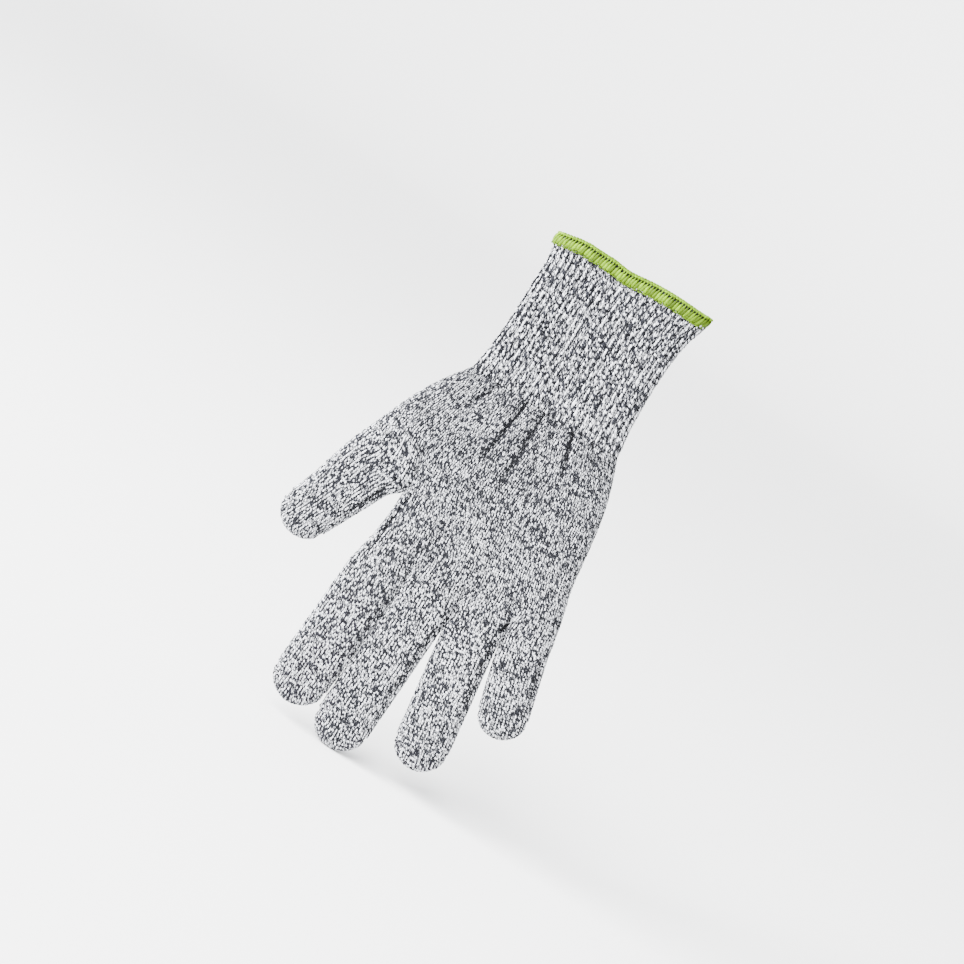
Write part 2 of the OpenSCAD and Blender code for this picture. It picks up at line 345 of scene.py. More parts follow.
def oval(half_width, half_height, parts):
    """Upper half of a flat oval: height = half_height * sqrt(1 - |x| ** p), where x runs from -1 to 1
    and p = 1 + 1.2 * half_width / half_height. Returns x and the height at points evenly spaced
    along the curve."""
    x, height, run = oval_run(half_width, half_height)
    at = np.linspace(0, run[-1], parts + 1)
    return np.interp(at, run, x), np.interp(at, run, height)


def oval_run(half_width, half_height):
    """Closely spaced points of an oval's upper half: x from -1 to 1, the height, and the distance along
    the curve."""
    x = -np.cos(np.linspace(0, np.pi, OVAL_SAMPLES))
    height = half_height * np.sqrt(np.clip(1 - np.abs(x) ** oval_power(half_width, half_height), 0, 1))
    return x, height, np.concatenate([[0], np.hypot(np.diff(x) * half_width, np.diff(height)).cumsum()])


def oval_power(half_width, half_height):
    """Power that keeps the oval's ends about as round as a stadium's."""
    return 1 + 1.2 * half_width / half_height


def lobes(knots, half_heights, parts):
    """Ovals side by side between the knots of a broken line. Returns each point's share of the line's
    length and its height."""
    lengths = np.linalg.norm(np.diff(knots, axis=0), axis=1)
    ends = np.concatenate([[0], lengths.cumsum()]) / lengths.sum()
    share, height = [np.zeros(1)], [np.zeros(1)]
    for i, (length, half_height, n) in enumerate(zip(lengths, half_heights, parts)):
        x, h = oval(length / 2, half_height, n)
        share.append(mix(ends[i], ends[i + 1], (x[1:] + 1) / 2))
        height.append(h[1:])
    return np.concatenate(share), np.concatenate(height)


def on_line(knots, share):
    """Points at the given shares of a broken line's length."""
    lengths = np.linalg.norm(np.diff(knots, axis=0), axis=1)
    ends = np.concatenate([[0], lengths.cumsum()]) / lengths.sum()
    return np.stack([np.interp(share, ends, knots[:, 0]), np.interp(share, ends, knots[:, 1])], 1)


def section(knots, whole_height, lobe_heights, parts, parting):
    """Row of points across the glove: one wide oval that turns into ovals side by side as parting goes
    from 0 to 1. Returns the points (x, z) and their heights."""
    width = np.linalg.norm(np.diff(knots, axis=0), axis=1).sum()
    x, whole = oval(width / 2, whole_height, sum(parts))
    share, parted = lobes(knots, lobe_heights, parts)
    share = mix((x + 1) / 2, share, parting)
    return on_line(knots, share), mix(whole, parted, parting)


def stitch_counts(knit):
    """Wales across the back of each finger and the thumb, from half the oval's girth."""
    girths = {limb: oval_run(LIMB[limb]["radius"], knit.finger_depth / MM / 2)[2][-1] for limb in LIMBS}
    return {limb: int(round(girth / (knit.wale / MM))) for limb, girth in girths.items()}


def steps(length, course):
    """Grid rows over a length: an even number, HALF to a course."""
    return HALF * max(1, int(round(length / course)))


def crease(x, z, start, end, depth, spread):
    """Valley along the line from start to end: depth * exp(-(distance / spread)^2), fading out at both
    ends, with a low ridge at each side."""
    start, end = np.array(start), np.array(end)
    way = end - start
    length = np.linalg.norm(way)
    way = way / length
    along = (x - start[0]) * way[0] + (z - start[1]) * way[1]
    off = (x - start[0]) * way[1] - (z - start[1]) * way[0]
    fade = smoothstep(along / 6 + 0.6) * smoothstep((length - along) / (0.5 * length))
    dip = np.exp(-(off / spread) ** 2)
    ridge = np.exp(-(off / (2.4 * spread)) ** 2)
    return depth * fade * (0.35 * ridge - dip)


def swell(x, z, seed):
    """Slow unevenness of filled cloth: a sum of six waves across the glove."""
    rng = np.random.default_rng(seed)
    total = np.zeros_like(x)
    for _ in range(6):
        wave, shift = rng.normal(0, 0.09, 2), rng.uniform(0, 2 * np.pi)
        total += np.sin(wave[0] * x + wave[1] * z + shift)
    return 0.11 * total


def loop_of(flat, rise_back, rise_palm):
    """One round of points a row: the back of the hand at -rise, from the thumb's side across, then the
    palm's side at +rise on the way back. Slow unevenness is added away from the edges."""
    x, z = flat[..., 0], flat[..., 1]
    back = np.stack([x, -rise_back * (1 + 0.10 * swell(x, z, 3)), z], -1)
    palm = np.stack([x, rise_palm * (1 + 0.10 * swell(x, z, 8)), z], -1)
    return np.concatenate([back, palm[:, -2:0:-1]], 1)


def normals_of(loop):
    """Outward normals of a grid that is closed across its columns."""
    down = np.gradient(loop, axis=0)
    across = np.roll(loop, -1, 1) - np.roll(loop, 1, 1)
    return unit(np.cross(down, across))


def patch(loop, crease_shade=None):
    """Part of the glove's surface: a grid of points, closed across, with its normals and how deep in a crease
    each point lies, from 0 to 1, which sets the painted shade of the yarn there."""
    crease_shade = np.zeros(loop.shape[:2]) if crease_shade is None else np.clip(crease_shade, 0, 1)
    return {"loop": loop, "normal": normals_of(loop), "crease_shade": crease_shade[..., None]}


def sample(grid, row, column):
    """Straight interpolation in a grid that is closed across its columns."""
    rows, columns = grid.shape[:2]
    row = np.clip(row, 0, rows - 1.0001)
    r, c = np.floor(row).astype(int), np.floor(column).astype(int)
    fr, fc = (row - r)[..., None], (column - c)[..., None]
    c0, c1 = c % columns, (c + 1) % columns
    top = grid[r, c0] * (1 - fc) + grid[r, c1] * fc
    low = grid[r + 1, c0] * (1 - fc) + grid[r + 1, c1] * fc
    return top * (1 - fr) + low * fr


def cuff_edges(z):
    """Left and right edge of the cuff at height z: it narrows by a twentieth half way down, widens into
    the wrist, flares at the hem, and leans towards the thumb."""
    t = z / WRIST_Z
    half = CUFF_HALF * (1 - 0.055 * np.sin(np.pi * np.clip(t, 0, 1)) + 0.02 * smoothstep((t - 0.8) / 0.2))
    half = half + 1.9 * smoothstep(1 - t / 0.22)
    lean = 0.2 - 1.5 * smoothstep(t / 0.4)
    return lean - half, lean + half


def hem_drop(x):
    """How far the hem hangs below the origin's height: a dip left of the middle, a droop at the thumb's
    end, a rise towards the other end, and a slight ripple."""
    t = x / CUFF_HALF
    dip = 1.1 * np.exp(-((t + 0.08) / 0.16) ** 2)
    ripple = 0.15 * (1 - np.cos(9 * t + 1))
    return dip + ripple + 2.2 * smoothstep((-t - 0.6) / 0.5) - 0.45 - 0.6 * smoothstep((t - 0.1) / 0.25)


def cuff_patch(knit):
    """Ribbed cuff: ovals from the hem to the wrist, with a cosine wave round it. Its ridges lie under
    the even wales and its grooves under the odd ones."""
    ribs = int(round(2 * CUFF_HALF / (knit.rib / MM)))
    parts = 2 * HALF * ribs
    rows = steps(CUFF_TOP - WRIST_Z, knit.course / MM)
    flats, rises = [], []
    for z in np.linspace(CUFF_TOP, WRIST_Z, rows + 1):
        left, right = cuff_edges(z)
        x, rise = oval((right - left) / 2, knit.cuff_depth / MM / 2, parts)
        flat = np.stack([mix(left, right, (x + 1) / 2), np.full(len(x), z)], 1)
        flat[:, 1] -= hem_drop(flat[:, 0]) * smoothstep(1 + z / DROOP_REACH)
        flats.append(flat)
        rises.append(rise)
    loop = loop_of(np.array(flats), np.array(rises), np.array(rises))
    made = patch(loop)
    column = np.arange(loop.shape[1])
    wave = np.cos(np.pi * (column - HALF / 2) / HALF)
    row = np.arange(rows + 1)
    fade = (0.25 + 0.75 * smoothstep(row / 8)) * (1 - 0.6 * smoothstep((row - rows + 20) / 20))
    made["loop"] = loop + made["normal"] * (RIB_RISE * wave[None] * fade[:, None])[..., None]
    return made


def palm_lines(knit):
    """Knots of the palm's rows: the wrist line, the thumb crotch line and the finger crotch line."""
    counts = stitch_counts(knit)
    n_thumb, n_palm = counts["thumb"], sum(counts[f] for f in FINGERS)
    left, right = cuff_edges(WRIST_Z)
    thumb, crotch = LIMB["thumb"], thumb_crotch_place()
    corner = thumb["root"] - thumb["across"] * (thumb["radius"] + 2.4)
    outer = np.array([node_box("lower_palm")[1][0] - 1.0, THUMB_CROTCH_Z])
    wrist = np.array([[left, WRIST_Z], [mix(left, right, n_thumb / (n_thumb + n_palm)), WRIST_Z],
                      [right, WRIST_Z]])
    low = np.array([corner, crotch, outer])
    joins = [crotch_place(name) for name in FINGER_JOINS]
    index, little = LIMB["index"], LIMB["little"]
    first = index["root"] - index["across"] * index["radius"] - index["way"] * KNUCKLE_RISE
    last = little["root"] + little["across"] * little["radius"] - little["way"] * KNUCKLE_RISE
    knuckles = np.array([first] + joins + [last])
    shares = np.concatenate([[0], np.cumsum([counts[f] for f in FINGERS])]) / n_palm
    top = on_line(low[1:], shares)
    return {"wrist": wrist, "low": low, "top": top, "knuckles": knuckles, "counts": counts}


def lower_palm_patch(knit):
    """Five-finger zone: straight rows between the wrist line and the thumb crotch line, with both edges
    bulged outwards by a sine, and creases below the rib."""
    lines = palm_lines(knit)
    counts = lines["counts"]
    parts = [HALF * counts["thumb"], HALF * sum(counts[f] for f in FINGERS)]
    depth, finger = knit.palm_depth / MM / 2, knit.finger_depth / MM / 2
    rows = steps(np.linalg.norm(lines["wrist"][1] - lines["low"][1]), knit.course / MM)
    flats, rises = [], []
    for t in np.linspace(0, 1, rows + 1):
        knots = mix(lines["wrist"], lines["low"], t)
        knots[0, 0] -= 3.0 * np.sin(np.pi * t) * (1.2 - 0.7 * t)
        knots[2, 0] += 2.6 * np.sin(np.pi * t) * (1.4 - t)
        height = mix(knit.cuff_depth / MM / 2, depth, smoothstep(t / 0.4))
        flat, rise = section(knots, height, [mix(height, finger, t), height], parts,
                             smoothstep((t - 0.62) / 0.38))
        flats.append(flat)
        rises.append(rise)
    flat, rise = np.array(flats), np.array(rises)
    x, z = flat[..., 0], flat[..., 1]
    back, palm = puckers(x, z) * smoothstep(rise / 4), puckers(-x + 8, z) * smoothstep(rise / 4)
    # Depth in the creases, which sets the painted shade on the yarn there.
    crease_shade = np.concatenate([back, palm[:, -2:0:-1]], 1) / -1.8
    return patch(loop_of(flat, rise + back, rise + palm), crease_shade)


def puckers(x, z):
    """Creases where the wide palm is drawn into the rib, and short gathers all along it."""
    w = WRIST_Z
    total = crease(x, z, (11.5, w + 3), (20.5, w - 24), 3.4, 1.5)
    total += crease(x, z, (-9.2, w + 1), (-13.5, w - 34), 2.8, 1.7)
    total += crease(x, z, (-1.2, w), (-0.8, w - 46), 2.2, 1.9)
    total += crease(x, z, (-22, w + 1), (-32, w - 18), 1.8, 1.5)
    total += crease(x, z, (4.5, w + 1), (8, w - 14), 1.1, 1.1)
    total += crease(x, z, (21, w + 1), (29.5, w - 12), 1.2, 1.2)
    gathers = 0.3 * np.sin(2 * np.pi * x / 4.7) * smoothstep((z - w + 9) / 9) * smoothstep((w + 4 - z) / 4)
    return total + gathers


def upper_palm_patch(knit):
    """Four-finger zone: rows between the thumb crotch line and the finger crotch line, whose one oval
    parts into four near the fingers. Its back has a rolled edge below the thumb's crotch, a pit where
    the ring and little finger part, and a shallow fold."""
    lines = palm_lines(knit)
    counts = lines["counts"]
    parts = [HALF * counts[f] for f in FINGERS]
    depth, finger = knit.palm_depth / MM / 2, knit.finger_depth / MM / 2
    rows = steps(np.linalg.norm(lines["top"].mean(0) - lines["knuckles"].mean(0)), knit.course / MM)
    flats, rises = [], []
    for t in np.linspace(0, 1, rows + 1):
        knots = mix(lines["top"], lines["knuckles"], t)
        knots[0, 0] += 1.3 * np.sin(np.pi * t)
        knots[4, 0] += 0.5 * np.sin(np.pi * t)
        flat, rise = section(knots, depth, [finger] * 4, parts, smoothstep((t - 0.5) / 0.5) ** 1.5)
        flats.append(flat)
        rises.append(rise)
    flat, rise = np.array(flats), np.array(rises)
    x, z = flat[..., 0], flat[..., 1]
    crotch = thumb_crotch_place()
    rolled = crease(x, z, crotch + [3.2, 3], crotch + [-0.2, -36], 3.2, 0.7)
    hole = crease(x, z, BARE + [0.3, 4.5], BARE + [-0.3, -4.5], 3.6, 0.9)
    back = (rolled + hole + crease(x, z, (-9, -128), (-19, -160), 0.5, 2.5)) * smoothstep(rise / 1.5)
    # Depth in the creases, which sets the painted shade on the yarn there.
    crease_shade = np.concatenate([back, 0 * rise[:, -2:0:-1]], 1) / -1.2
    return patch(loop_of(flat, rise + back, rise), crease_shade)


def limb_patch(knit, limb):
    """Finger or thumb: ovals from its crotch line down to the tip's centre, then a round tip, where the
    columns stay parallel and each ends on the tip's circle. The thumb narrows a little to its tip. A
    crease runs down the back, beside the edge on the little finger's side."""
    lines = palm_lines(knit)
    counts = lines["counts"]
    frame_of = LIMB[limb]
    if limb == "thumb":
        left, right = lines["low"][0], lines["low"][1]
    else:
        i = FINGERS.index(limb)
        left, right = lines["knuckles"][i], lines["knuckles"][i + 1]
    parts = HALF * counts[limb]
    way, across, r = frame_of["way"], frame_of["across"], frame_of["radius"]
    depth = knit.finger_depth / MM / 2
    start = (frame_of["root"] - (left + right) / 2) @ way
    straight = start + frame_of["to_tip_centre"]
    rows = steps(straight, knit.course / MM)
    outer_reach, taper = (34, 1.3) if limb == "thumb" else (ROOT_REACH, 0.0)
    flats, rises, runs = [], [], []
    for s in np.linspace(0, straight, rows + 1):
        centre = frame_of["root"] + way * (s - start)
        half = r - taper * s / straight
        a = mix(left + way * s, centre - across * half, smoothstep(s / outer_reach))
        b = mix(right + way * s, centre + across * half, smoothstep(s / ROOT_REACH))
        x, rise = oval(np.linalg.norm(b - a) / 2, depth, parts)
        flats.append(mix(a, b, (x[:, None] + 1) / 2))
        rises.append(rise)
        runs.append(s - start)
    r = r - taper
    power = oval_power(r, depth)
    x, _ = oval(r, depth, parts)
    tip_rows = steps(1.12 * r, knit.course / MM)
    reach, _ = oval(r, depth, 2 * tip_rows)
    for v in reach[tip_rows + 1:]:
        out = v * np.sqrt(np.clip(1 - x ** 2, 0, 1))
        flats.append(centre + across * (r * x[:, None]) + way * (r * out[:, None]))
        radial = np.minimum(np.hypot(x, out), 1)
        rises.append(depth * np.sqrt(np.clip(1 - radial ** power, 0, 1)))
        runs.append(straight - start + r * v)
    flat, rise = np.array(flats), np.array(rises)
    side = frame_of["root"] + across * (r - CREASE_INSET)
    length, deep = (30, 2.6) if limb == "thumb" else (0.75 * straight, 1.7)
    rolled = crease(flat[..., 0], flat[..., 1], side, side + way * length, deep, 0.7) * smoothstep(rise / 1.5)
    # Depth in the crease, which sets the painted shade on the yarn there.
    crease_shade = np.concatenate([rolled, 0 * rise[:, -2:0:-1]], 1) / -1.2
    made = patch(loop_of(flat, rise + rolled, rise), crease_shade)
    made["run"] = np.array(runs)
    return made


# ---------------------------------------------------------------- yarn and ground

def stitches(part, first, last, side, seed, ribbed=False):
    """Paths of the V stitches between two courses of a patch, on the back of the hand, the palm's side
    or both. Each stitch has two legs that start together, low in the middle of the wale, and rise and
    part towards the next course, where they dip under its stitches. In a rib, the stitches of the even
    wales are wide and stand out, and those of the odd wales are narrow and lie deep in the groove. One leg of
    each stitch is given a lighter tone and the other a darker one, painted light and shade as if lit from one
    side; where the knit is drawn together more of the dark ply shows, and in creases the tone is lowered as
    painted shade."""
    wales = part["loop"].shape[1] // HALF
    rng = np.random.default_rng(seed)
    wanted = {"back": (0, wales // 2), "palm": (wales // 2, wales), "both": (0, wales)}[side]
    course, wale = np.meshgrid(np.arange(first, last), np.arange(*wanted), indexing="ij")
    course, wale = course.ravel(), wale.ravel()
    jitter = rng.normal(0, 1, (4, len(course)))
    stands = wale % 2 == 0
    spread = np.where(stands, 1.15, 0.8) if ribbed else np.ones(len(course))
    sink = np.where(stands, 0.0, 0.3) if ribbed else np.zeros(len(course))
    t = LEG_AT
    paths, normals, widths, heights, squeezed = [], [], [], [], []
    for leg in (-1, 1):
        out = leg * spread[:, None] * (0.06 + 0.33 * t ** 0.8)[None] + 0.04 * jitter[0][:, None]
        down = (1.12 - (1.6 if ribbed else 1.34) * t)[None] + 0.06 * jitter[1][:, None]
        row = HALF * (course[:, None] + down)
        column = HALF * (wale[:, None] + 0.5 + out)
        place, normal = sample(part["loop"], row, column), unit(sample(part["normal"], row, column))
        lift = LEG_LIFT[None] + 0.08 * jitter[2 + (leg > 0)][:, None]
        paths.append(place + normal * (lift - sink[:, None])[..., None])
        normals.append(normal)
        middle = row[:, 1], column[:, 1]
        wale_width = span(part["loop"], *middle, 0.0, 0.5)
        squeezed.append(np.clip(0.35 * (wale_width / 1.25 - 1), -0.13, 0) * (not ribbed))
        course_height = span(part["loop"], *middle, 0.5, 0.0)
        width = np.clip(0.29 * wale_width * spread, 0.12, 0.50) * (course_height > 0.4)
        widths.append(width[:, None] * LEG_WIDTH[None])
        heights.append(np.minimum(width, 0.36)[:, None] * LEG_HEIGHT[None])
    spot = np.concatenate(paths)[:, 1]
    # Stitches are left out at the bare spot, so the ground's painted shade shows there.
    bare = (spot[:, 1] < 0) & (np.hypot(spot[:, 0] - BARE[0], (spot[:, 2] - BARE[1]) / 2.4) < 0.9)
    keep = (np.concatenate(widths)[:, 1] > 0) & ~bare
    row_level = rng.normal(0, 0.05, part["loop"].shape[0])[course]
    # How deep each stitch lies in a crease, for its painted shade.
    crease_shade = sample(part["crease_shade"], HALF * (course + 0.5), HALF * (wale + 0.5))[:, 0]
    # Painted light and shade: left legs are made lighter and right legs darker as if lit from one side, and
    # stitches deep in a crease darker as painted shade; the row level varies at random.
    shift = np.repeat([0.17, -0.17], len(course)) + np.tile(row_level - 0.6 * crease_shade, 2)
    level = 0.5 + 0.7 * (rng.uniform(0, 1, len(keep)) - 0.5) + shift + np.concatenate(squeezed)
    turn, tone = rng.uniform(0, 1, len(keep)), np.clip(level * TONES, 0, TONES - 1).astype(int)
    return [np.concatenate(a)[keep] for a in (paths, normals, widths, heights)] + [turn[keep], tone[keep]]


def span(loop, row, column, step_row, step_column):
    """Size of a course or a wale at places on a grid, measured from a step before to a step after."""
    before = sample(loop, row - step_row, column - step_column)
    after = sample(loop, row + step_row, column + step_column)
    return HALF * np.linalg.norm(after - before, axis=1)


def join_sets(sets):
    """Joins several sets of strands into one."""
    return [np.concatenate(a) for a in zip(*sets)]


def ground_mesh(parts, wall):
    """Closed shell behind the stitches. Each part is (loop, normals, rows from, rows to): an outer skin
    a little under the surface and an inner skin a wall further in, with both ends closed. It has one
    row a course."""
    verts, faces, count = [], [], 0
    for loop, normal, low, high in parts:
        loop, normal = loop[low:high + 1:HALF], normal[low:high + 1:HALF]
        rows, columns = loop.shape[:2]
        outer = loop - GROUND_DEPTH * normal
        inner = loop - (GROUND_DEPTH + wall) * normal
        side = np.where(np.arange(columns) <= columns // 2, -1, 1)[None]
        inner[..., 1] = side * np.maximum(side * inner[..., 1], 0.04)
        index = count + np.arange(rows * columns).reshape(rows, columns)
        inside = index + rows * columns
        nxt, inside_nxt = np.roll(index, -1, 1), np.roll(inside, -1, 1)
        faces.append(np.stack([index[:-1], index[1:], nxt[1:], nxt[:-1]], -1).reshape(-1, 4))
        faces.append(np.stack([inside[:-1], inside_nxt[:-1], inside_nxt[1:], inside[1:]], -1).reshape(-1, 4))
        for row, flip in ((0, False), (rows - 1, True)):
            rim = np.stack([index[row], nxt[row], inside_nxt[row], inside[row]], -1)
            faces.append(rim[:, ::-1] if flip else rim)
        verts += [outer.reshape(-1, 3), inner.reshape(-1, 3)]
        count += 2 * rows * columns
    return np.concatenate(verts), np.concatenate(faces)


def ground_piece(name, parts, knit, material):
    """Piece made of ground shells."""
    verts, faces = ground_mesh(parts, knit.wall / MM)
    return new_piece(name, verts, faces.ravel(), np.arange(0, faces.size, 4), {}, material)


# ---------------------------------------------------------------- materials

def node(tree, kind, **settings):
    """New shader node with its settings."""
    made = tree.nodes.new(kind)
    for key, value in settings.items():
        setattr(made, key, value)
    return made


def math_node(tree, operation, first, second=None):
    """Math node whose inputs are links or numbers."""
    made = node(tree, "ShaderNodeMath", operation=operation)
    for i, value in enumerate((first, second)):
        if value is None:
            continue
        if isinstance(value, (int, float)):
            made.inputs[i].default_value = value
        else:
            tree.links.new(value, made.inputs[i])
    return made.outputs[0]


def blank_material(name, roughness):
    """Material with one shader, whose constants sit on its own sockets."""
    found = bpy.data.materials.get(name)
    if found:
        return found, None, None
    material = bpy.data.materials.new(name)
    material.use_nodes = True
    tree = material.node_tree
    shader = next(n for n in tree.nodes if n.type == "BSDF_PRINCIPLED")
    shader.inputs["Roughness"].default_value = roughness
    shader.inputs["Specular IOR Level"].default_value = 0.12
    return material, tree, shader


def twisted_colour(tree, light, dark, cover, grain, sway=0.0):
    """Colour of a two-ply yarn: the dark ply shows where cos(2 pi (turn + place round)) + sway * (0.45 -
    tone) is above a threshold, its edge frayed by fine noise. So a strand with a low tone is mostly
    dark and one with a high tone mostly light, and the light ply is brighter the higher the tone."""
    uv = node(tree, "ShaderNodeUVMap", uv_map="Twist")
    split = node(tree, "ShaderNodeSeparateXYZ")
    tree.links.new(uv.outputs[0], split.inputs[0])
    turn = math_node(tree, "ADD", split.outputs[0], split.outputs[1])
    wave = math_node(tree, "COSINE", math_node(tree, "MULTIPLY", turn, 2 * np.pi))
    tone = math_node(tree, "DIVIDE", math_node(tree, "FLOOR", split.outputs[1]), TONES - 1.0)
    place = node(tree, "ShaderNodeTexCoord")
    noise = node(tree, "ShaderNodeTexNoise")
    noise.inputs["Scale"].default_value = grain
    noise.inputs["Detail"].default_value = 3.0
    tree.links.new(place.outputs["Object"], noise.inputs["Vector"])
    lean = math_node(tree, "MULTIPLY", math_node(tree, "SUBTRACT", 0.45, tone), sway)
    frayed = math_node(tree, "ADD", wave, math_node(tree, "MULTIPLY", noise.outputs[0], 0.9))
    frayed = math_node(tree, "ADD", frayed, lean)
    step = node(tree, "ShaderNodeMapRange", interpolation_type="SMOOTHSTEP")
    step.inputs["From Min"].default_value = cover - 0.15
    step.inputs["From Max"].default_value = cover + 0.15
    tree.links.new(frayed, step.inputs["Value"])
    light, dark = np.array(light), np.array(dark)
    light_ply = colour_mix(tree, tone, 0.24 * light, light)
    dark_ply = colour_mix(tree, tone, dark, 2.6 * dark)
    return colour_mix(tree, step.outputs[0], light_ply, dark_ply)


def colour_mix(tree, factor, first, second):
    """Mix of two colours, each a link or three numbers."""
    blend = node(tree, "ShaderNodeMix", data_type="RGBA")
    tree.links.new(factor, blend.inputs["Factor"])
    for socket, value in (("A", first), ("B", second)):
        if isinstance(value, np.ndarray):
            blend.inputs[socket].default_value = (*value, 1)
        else:
            tree.links.new(value, blend.inputs[socket])
    return blend.outputs["Result"]


def fibre_bump(tree, shader, scale, distance):
    """Fine fibres: noise on the object's own place, as a bump."""
    place = node(tree, "ShaderNodeTexCoord")
    noise = node(tree, "ShaderNodeTexNoise")
    noise.inputs["Scale"].default_value = scale
    noise.inputs["Detail"].default_value = 4.0
    tree.links.new(place.outputs["Object"], noise.inputs["Vector"])
    bump = node(tree, "ShaderNodeBump")
    bump.inputs["Strength"].default_value = 0.6
    bump.inputs["Distance"].default_value = distance
    tree.links.new(noise.outputs[0], bump.inputs["Height"])
    tree.links.new(bump.outputs[0], shader.inputs["Normal"])


def yarn_material(knit):
    """Black and white melange yarn, matte."""
    material, tree, shader = blank_material("melange yarn", 0.92)
    if tree:
        colour = twisted_colour(tree, knit.light, knit.dark, 0.10, 2600.0, 1.5)
        tree.links.new(colour, shader.inputs["Base Color"])
        shader.inputs["Sheen Weight"].default_value = 0.04
        shader.inputs["Sheen Roughness"].default_value = 0.5
        fibre_bump(tree, shader, 5200.0, 0.00012)
    return material


def shaded_ground_material(knit):
    """Painted shade deep in the knit, seen between the stitches: a dark ground colour that stands for the
    shadow there, mottled by noise.
    """
    material, tree, shader = blank_material("painted shade ground", 0.95)
    if tree:
        place = node(tree, "ShaderNodeTexCoord")
        noise = node(tree, "ShaderNodeTexNoise")
        noise.inputs["Scale"].default_value = 1100.0
        tree.links.new(place.outputs["Object"], noise.inputs["Vector"])
        ramp = node(tree, "ShaderNodeMapRange")
        ramp.inputs["From Min"].default_value = 0.42
        ramp.inputs["From Max"].default_value = 0.6
        tree.links.new(noise.outputs[0], ramp.inputs["Value"])
        deep = np.array(knit.ground)
        colour = colour_mix(tree, ramp.outputs[0], 0.45 * deep, 2.0 * deep)
        tree.links.new(colour, shader.inputs["Base Color"])
        fibre_bump(tree, shader, 2400.0, 0.0003)
    return material


def green_material(hem):
    """Textured green thread: filaments twist round it as lighter and darker lines."""
    material, tree, shader = blank_material("green thread", 0.62)
    if tree:
        bright = np.array(hem.green)
        colour = twisted_colour(tree, bright * 1.25, bright * 0.3, 0.85, 2200.0)
        tree.links.new(colour, shader.inputs["Base Color"])
        fibre_bump(tree, shader, 3600.0, 0.0002)
    return material


def elastic_material(hem):
    """Covered elastic: white filaments wound round a rubber core."""
    material, tree, shader = blank_material("covered elastic", 0.8)
    if tree:
        white = np.array(hem.elastic)
        colour = twisted_colour(tree, white, white * 0.6, 1.0, 2600.0)
        tree.links.new(colour, shader.inputs["Base Color"])
        fibre_bump(tree, shader, 3000.0, 0.0002)
    return material


# ---------------------------------------------------------------- pieces

def seat(piece, ends, nodes=()):
    """Fastens a piece to its body when ends is one body; when ends is two bodies with a blend's start and end
    points, these are not used and the piece's transform is only baked into its mesh.
    """
    if len(ends) == 1:
        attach(piece, ends[0])
    else:
        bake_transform(piece)
    if nodes:
        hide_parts(*nodes)


def point(flat):
    """Point in the middle plane, in metres, from (x, z) in millimetres."""
    return (flat[0] * MM, 0.0, flat[1] * MM)


def wrist_fold():
    """Blend across the wrist, WRIST_REACH to each side of its hinge."""
    return ("cuff", "palm", point((0, WRIST_Z + WRIST_REACH)), point((0, WRIST_Z - WRIST_REACH)))


def course_at(part, z):
    """Course of a patch whose middle lies nearest to height z."""
    height = part["loop"][::HALF, :, 2].mean(1)
    return int(np.abs(height - z).argmin())


class GLOVE_OT_cuff(bpy.types.Operator):
    """Knit the ribbed cuff from the hem to above the wrist"""
    bl_idname = "glove.cuff"
    bl_label = "Ribbed Cuff"

    def execute(self, context):
        knit = context.scene.glove_knit
        part = cuff_patch(knit)
        split = course_at(part, WRIST_Z + WRIST_REACH + 1)
        ground = ground_piece("rib_ground", [(part["loop"], part["normal"], 0, HALF * split)], knit,
                              shaded_ground_material(knit))
        seat(ground, ("cuff",), ("rib_cuff",))
        # The yarn starts three courses below the ground's top, so the ground's painted shade shows in the
        # hem's slots.
        for i, side in enumerate(("back", "palm")):
            yarn = strand_piece(f"rib_yarn_{side}", *stitches(part, 3, split, side, 20 + i, True),
                                yarn_material(knit))
            seat(yarn, ("cuff",))
        return {"FINISHED"}


class GLOVE_OT_palm(bpy.types.Operator):
    """Knit the wrist and both zones of the palm"""
    bl_idname = "glove.palm"
    bl_label = "Wrist and Palm"

    def execute(self, context):
        knit = context.scene.glove_knit
        yarn, ground = yarn_material(knit), shaded_ground_material(knit)
        rib, lower, upper = cuff_patch(knit), lower_palm_patch(knit), upper_palm_patch(knit)
        above = course_at(rib, WRIST_Z + WRIST_REACH + 1)
        below = course_at(lower, WRIST_Z - WRIST_REACH - 4)
        ends = {name: (part["loop"].shape[0] - 1) // HALF
                for name, part in (("rib", rib), ("lower", lower), ("upper", upper))}
        shell = ground_piece("wrist_ground", [
            (rib["loop"], rib["normal"], HALF * above, HALF * ends["rib"]),
            (lower["loop"], lower["normal"], 0, HALF * below)], knit, ground)
        seat(shell, wrist_fold())
        for i, side in enumerate(("back", "palm")):
            legs = join_sets([stitches(rib, above, ends["rib"], side, 22 + i, True),
                              stitches(lower, 0, below, side, 24 + i)])
            seat(strand_piece(f"wrist_yarn_{side}", *legs, yarn), wrist_fold())
            legs = stitches(lower, below, ends["lower"], side, 24 + i)
            seat(strand_piece(f"lower_palm_yarn_{side}", *legs, yarn), ("palm",))
            legs = stitches(upper, 0, ends["upper"], side, 26 + i)
            seat(strand_piece(f"upper_palm_yarn_{side}", *legs, yarn), ("palm",))
        shell = ground_piece("lower_palm_ground", [
            (lower["loop"], lower["normal"], HALF * below, HALF * ends["lower"])], knit, ground)
        seat(shell, ("palm",), ("lower_palm", "thumb_crotch"))
        shell = ground_piece("upper_palm_ground", [
            (upper["loop"], upper["normal"], 0, HALF * ends["upper"])], knit, ground)
        seat(shell, ("palm",), ("upper_palm",) + FINGER_JOINS)
        return {"FINISHED"}


